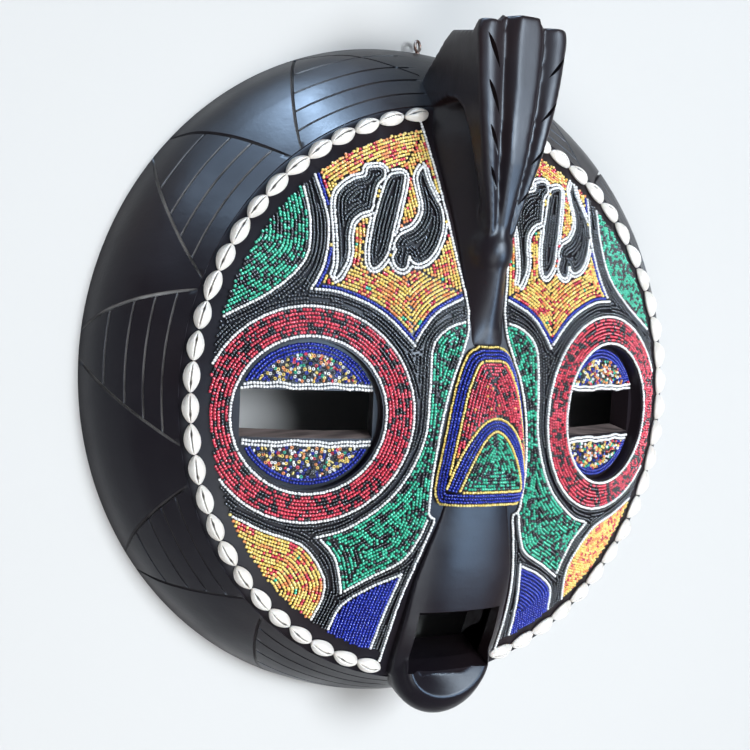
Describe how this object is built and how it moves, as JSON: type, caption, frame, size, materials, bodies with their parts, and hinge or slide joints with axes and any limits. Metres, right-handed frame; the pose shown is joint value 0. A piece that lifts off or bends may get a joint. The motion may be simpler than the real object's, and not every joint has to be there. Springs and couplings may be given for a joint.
{
  "type": "beaded wall mask",
  "caption": "Round hollow carved wood mask with a fan-shaped crest, beaded face, slit eyes, open square mouth and a ring of cowrie shells.",
  "frame": {"origin": "centre of the box's underside, level with the flat back rim", "axes": "+Z the way the face looks out, +Y towards the crest, +X to the right of somebody who looks at the face"},
  "size_m": [0.475, 0.468, 0.148],
  "materials": {
    "black_wood": "black stain, satin, worn brown and grey at the carved edges",
    "cowrie_shell": "glossy ivory cowrie shell",
    "red_beads": "opaque glass seed beads, glossy",
    "green_beads": "opaque glass seed beads, glossy",
    "yellow_beads": "opaque glass seed beads, glossy",
    "blue_beads": "opaque glass seed beads, glossy",
    "black_beads": "opaque glass seed beads, glossy",
    "wire": "dull twisted wire"
  },
  "bodies": {
    "root": {"mask_body": "black_wood", "beads_nose": "red_beads", "hanging_eye": "wire", "beads_temple_left": "green_beads", "beads_forehead_left": "yellow_beads", "beads_cheek_left": "green_beads", "beads_jaw_left": "yellow_beads", "beads_chin_left": "blue_beads", "beads_eye_ring_left": "red_beads", "beads_bands_left": "black_beads", "beads_upper_lid_left": "blue_beads", "beads_lower_lid_left": "blue_beads", "cowries_left_1": "cowrie_shell", "cowries_left_2": "cowrie_shell", "cowries_left_3": "cowrie_shell", "cowries_left_4": "cowrie_shell", "cowries_left_5": "cowrie_shell", "cowries_left_6": "cowrie_shell", "cowries_left_7": "cowrie_shell", "cowries_left_8": "cowrie_shell", "cowries_left_9": "cowrie_shell", "beads_temple_right": "green_beads", "beads_forehead_right": "yellow_beads", "beads_cheek_right": "green_beads", "beads_jaw_right": "yellow_beads", "beads_chin_right": "blue_beads", "beads_eye_ring_right": "red_beads", "beads_bands_right": "black_beads", "beads_upper_lid_right": "blue_beads", "beads_lower_lid_right": "blue_beads", "cowries_right_1": "cowrie_shell", "cowries_right_2": "cowrie_shell", "cowries_right_3": "cowrie_shell", "cowries_right_4": "cowrie_shell", "cowries_right_5": "cowrie_shell", "cowries_right_6": "cowrie_shell", "cowries_right_7": "cowrie_shell", "cowries_right_8": "cowrie_shell", "cowries_right_9": "cowrie_shell"}
  },
  "joints": []
}
